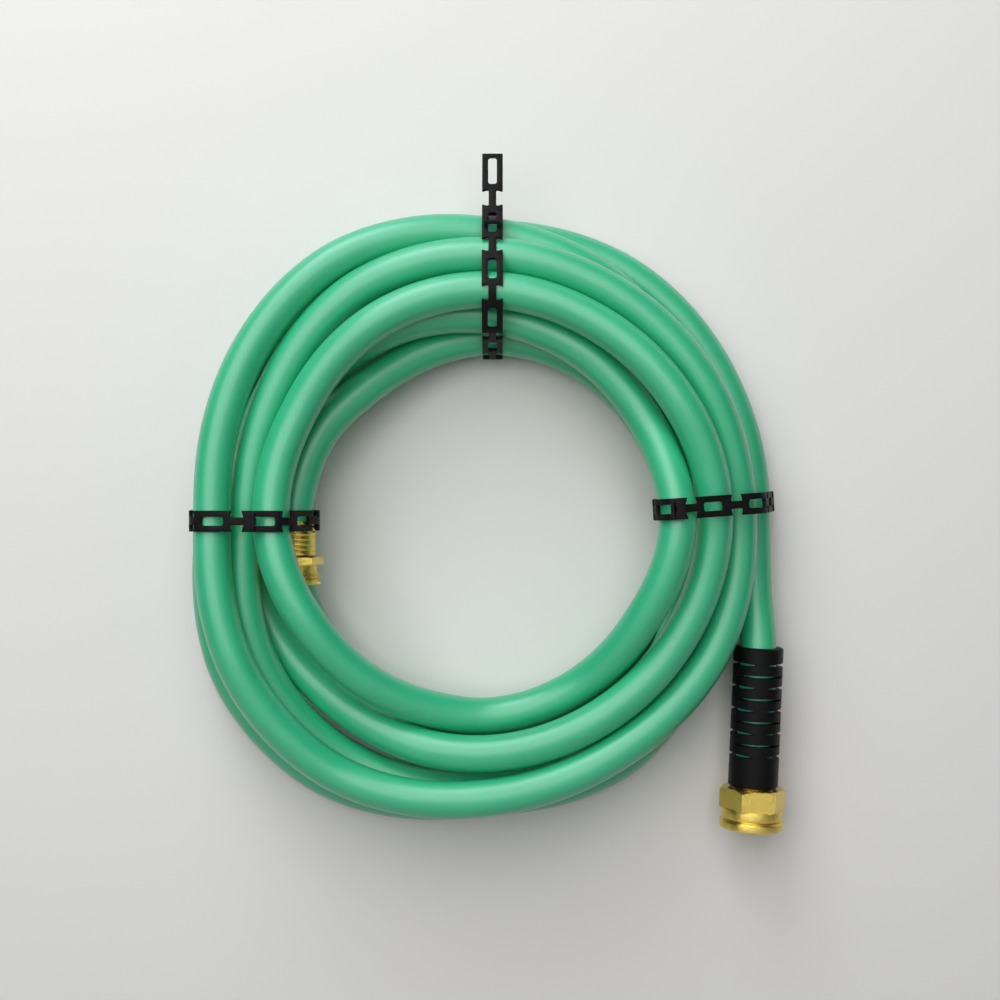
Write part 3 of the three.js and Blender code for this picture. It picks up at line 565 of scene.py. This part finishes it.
def hidden_coupling(turned_brass, rubber):
    """What the collar and the nut hide: the ferrule, the tail with its flange, the washer."""
    inside = HOSE["radius"] + 0.1
    bottom, top = HOSE_CUT + CLEAR, HOSE_CUT + FEMALE["ferrule"] - CLEAR
    ferrule = turned([(inside, top), (inside, bottom), (CRIMP, bottom), (CRIMP, top - 1),
                      (CRIMP - 0.5, top)], 72)
    made("hidden_ferrule", put(ferrule, COUPLING), turned_brass, "coil", "brass",
         "female_ferrule")

    flange_top = UNDER_LIP - CLEAR
    flange_bottom, flange = flange_top - FEMALE["flange"], FEMALE["flange_d"] / 2
    bore, shank, step = FEMALE["bore"] / 2, FEMALE["shank_d"] / 2, HOSE_CUT - CLEAR
    tail_end = HOSE_CUT + FEMALE["tail"]
    tail = turned([(bore, flange_bottom), (flange, flange_bottom), (flange, flange_top),
                   (shank, flange_top), (shank, NUT_TOP + 0.4), (CRIMP - 0.4, NUT_TOP + 0.4),
                   (CRIMP - 0.4, step), (bore + 0.7, step), (bore + 1.2, tail_end - 2),
                   (bore, tail_end)], 72, 0.15)
    made("tail_and_flange", put(tail, COUPLING), turned_brass, "coil", "brass", "tailpiece")

    seat = flange_bottom - CLEAR
    bore, rim, face = FEMALE["washer_bore"] / 2, FEMALE["washer_d"] / 2, seat - FEMALE["washer"]
    washer = turned([(bore, seat), (bore, face), (rim, face), (rim, seat)], 72, 0.4)
    made("washer", put(washer, COUPLING), rubber, "nut", "black_rubber", "hose_washer")


def swivel_nut(brass):
    """The nut: a hex with an eye for the tail, over a round skirt with its thread inside."""
    hex_bottom = NUT_TOP - NUT["hex_h"]
    rim_top = NUT_MOUTH + NUT["rim_h"]
    body, rim, bore = NUT["body_d"] / 2, NUT["rim_d"] / 2, NUT["thread_d"] / 2 + 0.6
    skirt = turned([
        (bore, NUT_MOUTH + 0.6), (bore + 0.6, NUT_MOUTH), (rim - 0.7, NUT_MOUTH),
        (rim, NUT_MOUTH + 0.7), (rim, rim_top - 0.7), (rim - 0.6, rim_top),
        (body - NUT["groove"], rim_top + 0.2), (body - 0.1, rim_top + NUT["groove"] + 0.3),
        (body, rim_top + 2), (body, hex_bottom + 0.5), (bore, hex_bottom + 0.5)], 120, 0.12)
    bar = hex_bar(NUT["flats"], hex_bottom, NUT_TOP, NUT["turn"], 0.8, 1.3)
    eye = NUT["eye_d"] / 2
    hollow = turned([(0, hex_bottom - 1), (bore, hex_bottom - 1), (bore, UNDER_LIP),
                     (eye, UNDER_LIP), (eye, NUT_TOP + 1), (0, NUT_TOP + 1)], 96)
    bar = cut(bar, hollow, "DIFFERENCE")
    screw = ridge(bore + 0.2, bore - NUT["thread_depth"], NUT_MOUTH + 0.7,
                  NUT["thread"] / PITCH)
    made("swivel_nut_brass", put(joined(skirt, bar, screw), COUPLING), brass, "nut", "brass",
         "swivel_nut", sharp=28)


# ------------------------------------------------------------------ the straps

def held_by(place):
    """Circles round the strands that a strap holds, in its plane: outward, depth, size."""
    circles = [(*place["bridge"], HOSE["radius"])] if "bridge" in place else []
    step = TURN / STEPS
    start = (math.radians(place["clock"]) / step - FIRST_STEP) % STEPS
    for side in (-0.5, 0, 0.5):
        across = place["aside"] + side * STRAP["width"]
        at = start
        while at < len(LIE):
            radius = strand_at(at + math.asin(across / 120) / step)[0]
            radius, depth, slope = strand_at(at + math.asin(across / radius) / step)
            circles.append((math.sqrt(radius ** 2 - across ** 2), depth,
                            HOSE["radius"] / math.cos(slope)))
            at += STEPS
    return circles


def tight_loop(circles):
    """A thread pulled tight round circles, from the outermost point inwards along the front."""
    off = STRAP["off_hose"] + STRAP["thick"] / 2
    sides = 120
    spots = sorted((x + (size + off) * math.cos(k * TURN / sides),
                    y + (size + off) * math.sin(k * TURN / sides))
                   for x, y, size in circles for k in range(sides))

    def half(row):
        chain = []
        for x, y in row:
            while len(chain) > 1:
                (ax, ay), (bx, by) = chain[-2:]
                if (bx - ax) * (y - ay) - (by - ay) * (x - ax) > 0:
                    break
                chain.pop()
            chain.append((x, y))
        return chain[:-1]

    loop = half(spots) + half(spots[::-1])
    first = loop.index(max(loop))
    return loop[first:] + loop[:first]


class Track:
    """A line in a strap's plane, and the point at a length along it."""

    def __init__(self, points):
        self.points, self.lengths = points, [0]
        for a, b in zip(points, points[1:]):
            self.lengths.append(self.lengths[-1] + math.dist(a, b))
        self.total = self.lengths[-1]

    def at(self, along):
        low, high = 1, len(self.points) - 1
        while low < high:
            middle = (low + high) // 2
            if self.lengths[middle] < along:
                low = middle + 1
            else:
                high = middle
        f = (along - self.lengths[low - 1]) / (self.lengths[low] - self.lengths[low - 1])
        return [a + f * (b - a) for a, b in zip(self.points[low - 1], self.points[low])]

    def face(self, along):
        (ax, ay), (bx, by) = self.at(along - 1), self.at(along + 1)
        size = math.hypot(bx - ax, by - ay)
        return (by - ay) / size, -(bx - ax) / size


def link_rows(start, neck_run, length=STRAP["link"], first_bar=STRAP["first_bar"],
              barb=STRAP["barb"]):
    """Rows of a link and its neck: place along, half widths in and out, corners' shift, fill."""
    neck, slot, width = STRAP["neck_w"] / 2, STRAP["slot_w"] / 2, STRAP["width"] / 2
    end = start + length
    return [(start, neck, width, -barb, (1, 1, 1)),
            (start + first_bar, slot, width, 0, (1, 0, 1)),
            (end - STRAP["last_bar"], slot, width, 0, (1, 1, 1)),
            (end, neck, width, STRAP["barb"], (0, 1, 0)),
            (end + neck_run / 2, neck, width, 0, (0, 1, 0))]


def head_rows(start):
    neck, width = STRAP["neck_w"] / 2, STRAP["head_w"] / 2
    return [(start, neck, width, 0, (1, 1, 1)),
            (start + STRAP["head"], neck, width - 0.8, 0, (0, 0, 0))]


def strap(name, rows, track, lift, place, material):
    """A flat strip cut from the rows, thickened and softened, then wound on its track."""
    bm = bmesh.new()
    half = STRAP["thick"] / 2
    grid = [[bm.verts.new((along + (shift if abs(w) == outer else 0), w, -half))
             for w in (-outer, -inner, inner, outer)]
            for along, inner, outer, shift, _ in rows]
    for row, after, (*_, fill) in zip(grid, grid[1:], rows):
        for k in range(3):
            if fill[k]:
                bm.faces.new((row[k], after[k], after[k + 1], row[k + 1]))
    bmesh.ops.delete(bm, geom=[v for v in bm.verts if not v.link_faces], context="VERTS")
    grown = bmesh.ops.extrude_face_region(bm, geom=bm.faces[:], use_keep_orig=True)["geom"]
    bmesh.ops.translate(bm, vec=(0, 0, 2 * half),
                        verts=[g for g in grown if isinstance(g, bmesh.types.BMVert)])
    bmesh.ops.recalc_face_normals(bm, faces=bm.faces)
    for at, round_off in ((STRAP["slot_w"] / 2, 1.3), (STRAP["neck_w"] / 2, 1),
                          (STRAP["width"] / 2, 0.4), (STRAP["head_w"] / 2, 0.4)):
        upright = [e for e in bm.edges if len(e.link_faces) == 2
                   and abs((e.verts[0].co - e.verts[1].co).z) > half
                   and abs(abs(e.verts[0].co.y) - at) < 0.01 and e.calc_face_angle() > 0.5]
        round_edges(bm, upright, round_off, 4)
    soften_edges(bm, STRAP["soft_edge"], 60)
    low, high = rows[0][0] - 2, rows[-1][0] + 2
    for k in range(1, int((high - low) / STRAP["slice"])):
        bmesh.ops.bisect_plane(bm, geom=bm.verts[:] + bm.edges[:] + bm.faces[:],
                               plane_co=(low + STRAP["slice"] * k, 0, 0), plane_no=(1, 0, 0),
                               dist=1e-4)
    clock = math.radians(place["clock"])
    outward = Vector((math.sin(clock), 0, math.cos(clock)))
    across = Vector((math.cos(clock), 0, -math.sin(clock)))
    for v in bm.verts:
        radius, depth = track.at(v.co.x)
        nx, ny = track.face(v.co.x)
        off = lift(v.co.x) + v.co.z
        v.co = (CENTRE + across * (place["aside"] + v.co.y) + outward * (radius + nx * off)
                + Vector((0, -1, 0)) * (depth + ny * off))
    bmesh.ops.recalc_face_normals(bm, faces=bm.faces)
    made(name + "_links", bm, material, "coil", "strap_plastic", name, sharp=40)


LAYER = STRAP["thick"] + CLEAR


def loop_strap(name, place, material, others=()):
    """A strap whose end passes under its first link and turns out through that link's slot."""
    loop = tight_loop([*held_by(place), *others])
    once = Track([*loop, loop[0]])
    start = 0
    while once.at(start)[0] > place["lock_at"]:
        start += 0.25
    corner = once.total + STRAP["first_bar"] + CLEAR + STRAP["thick"] / 2
    points = [once.at((start + k / 2) % once.total) for k in range(int(2 * corner))]
    before, last = (once.at((start + along) % once.total) for along in (corner - 1, corner))
    rise = LAYER + STRAP["thick"] / 2 + CLEAR + STRAP["head"]
    points += [last, (last[0] + (last[1] - before[1]) * rise,
                      last[1] - (last[0] - before[0]) * rise)]
    track = Track(points)
    links = round(once.total / (STRAP["link"] + STRAP["neck"]))
    pitch = once.total / links
    rows = [row for i in range(links) for row in link_rows(i * pitch, pitch - STRAP["link"])]
    rows += head_rows(track.total - STRAP["head"])

    def standing(along):
        """The first link lies over the strap's end, then slopes down to the hose."""
        return LAYER * max(0, min(1, (STRAP["first_bar"] + 8 - along) / 6))

    strap(name, rows, track, standing, place, material)


def hanging_strap(name, place, material):
    """The strap whose end comes over from behind and out through the slot of its second link."""
    loop = tight_loop(held_by(place))
    tilt = math.radians(STRAP["hang_tilt"])

    def hung(down):
        return -CENTRE.z - down * math.cos(tilt), CENTRE.y + down * math.sin(tilt)

    bend = hung(STRAP["hang_link"] - STRAP["hang_bar"])

    def steep(spot):
        return (spot[1] - bend[1]) / (bend[0] - spot[0])

    touch = max((i for i, spot in enumerate(loop) if spot[0] < bend[0]),
                key=lambda i: steep(loop[i]))
    slope = STRAP["tail_slope"]
    leave = 0
    while loop[leave][0] - loop[leave + 1][0] < slope * (loop[leave + 1][1] - loop[leave][1]):
        leave += 1
    radius, depth = loop[leave]
    steepness = steep(loop[touch])
    crossing = (bend[1] + steepness * (bend[0] - radius) - depth) / (1 - slope * steepness)
    run = crossing + LAYER + 0.6 + STRAP["head"]
    track = Track([hung(-STRAP["hang_bar"]), bend, *loop[touch:], *loop[:leave + 1],
                   (radius - slope * run, depth + run)])
    first = STRAP["hang_link"] + STRAP["hang_neck"]
    head = track.total - STRAP["head"]
    links = round((head - first) / (STRAP["link"] + STRAP["neck"]))
    pitch = (head - first) / links
    rows = link_rows(0, STRAP["hang_neck"], STRAP["hang_link"], STRAP["hang_bar"], 0)
    for i in range(links):
        rows += link_rows(first + i * pitch, pitch - STRAP["link"])
    strap(name, rows + head_rows(head), track, lambda along: 0, place, material)


# ------------------------------------------------------------------ the room

def pale_finish(name, thrown, seen):
    """Pale where it is seen or reflected, and darker in the light it throws on the hose."""
    f = Finish(name, Roughness=0.9)
    rays = f.node("ShaderNodeLightPath")
    looks = rays.out("Is Camera Ray") + rays.out("Is Glossy Ray") + rays.out("Is Transmission Ray")
    return f.feed(Base_Color=f.mix(looks, thrown, seen))


def backdrop():
    """A wall that is clear from behind, and a floor well below."""
    wall = pale_finish("pale_wall", (0.3, 0.27, 0.23), (0.92, 0.90, 0.87))
    clear = wall.node("ShaderNodeBsdfTransparent")
    behind = wall.node("ShaderNodeNewGeometry").out("Backfacing")
    mixed = wall.node("ShaderNodeMixShader", Fac=behind)
    wall.tree.links.new(wall.shader.outputs[0], mixed.node.inputs[1])
    wall.tree.links.new(clear.node.outputs[0], mixed.node.inputs[2])
    wall.tree.links.new(mixed.node.outputs[0], wall.tree.nodes["Material Output"].inputs[0])
    floor = pale_finish("pale_floor", (0.1, 0.1, 0.1), (0.80, 0.79, 0.77))
    upright = Matrix.Rotation(math.pi / 2, 4, "X")
    for name, finish, matrix in (
            ("wall", wall, Matrix.Translation((0, 0.043, 0.4)) @ upright),
            ("floor", floor, Matrix.Translation((0, 0, -0.75)))):
        bm = bmesh.new()
        bmesh.ops.create_grid(bm, x_segments=1, y_segments=1, size=3)
        put(bm, matrix)
        mesh = bpy.data.meshes.new(name)
        bm.to_mesh(mesh)
        bm.free()
        plane = bpy.data.objects.new(name, mesh)
        mesh.materials.append(finish.material)
        bpy.context.scene.collection.objects.link(plane)


def lamp(name, place, aim, size, power, colour=(1, 1, 1)):
    """A square area lamp that faces the aim."""
    data = bpy.data.lights.new(name, "AREA")
    data.shape, data.size, data.energy, data.color = "SQUARE", size, power, colour
    light = bpy.data.objects.new(name, data)
    bpy.context.scene.collection.objects.link(light)
    light.location = place
    light.rotation_euler = (Vector(aim) - Vector(place)).to_track_quat("-Z", "Y").to_euler()


def room():
    backdrop()
    middle = (0, 0, -0.18)
    lamp("key", (-0.35, -1.45, 0.4), middle, 1.8, 22)
    lamp("top", (-0.35, -0.6, 1.1), middle, 0.7, 9, (0.85, 0.93, 1))
    lamp("fill", (1, -1.5, -0.35), middle, 1.2, 2)
    world = bpy.data.worlds.new("room")
    bpy.context.scene.world = world
    world.use_nodes = True
    background = world.node_tree.nodes["Background"]
    background.inputs["Color"].default_value = (1, 1, 1, 1)
    background.inputs["Strength"].default_value = 0.04

    camera = bpy.data.objects.new("camera", bpy.data.cameras.new("camera"))
    bpy.context.scene.collection.objects.link(camera)
    sensor, seen_at_wall, from_wall = 36, 0.5336, 0.74
    camera.location = (0.0038, -0.702, -0.1732)
    camera.rotation_euler = (math.pi / 2, 0, 0)
    camera.data.sensor_width = sensor
    camera.data.lens = sensor / 2 / (seen_at_wall / 2 / from_wall)
    camera.data.clip_start = 0.01
    bpy.context.scene.camera = camera
    bpy.context.scene.view_settings.view_transform = "Standard"


# ------------------------------------------------------------------ the whole

room()
brass = brass_finish("brass")
turned_brass = brass_finish("turned_brass")
strap_black = moulded_finish("strap_black", (0.006, 0.0045, 0.0045), 0.5)
collar_black = moulded_finish("collar_black", (0.003, 0.003, 0.004), 0.42)
rubber = moulded_finish("washer_rubber", (0.02, 0.02, 0.02), 0.7)

green_hose, path, length = hose(vinyl_finish())
male_end(brass, turned_brass)
bend_collar(collar_black)
hidden_coupling(turned_brass, rubber)
swivel_nut(brass)
hanging_strap("top_strap", TOP, strap_black)
loop_strap("left_strap", LEFT, strap_black,
           [(-MALE["x"], MALE["depth"], MALE["ferrule_d"] / 2)])
loop_strap("right_strap", RIGHT, strap_black)
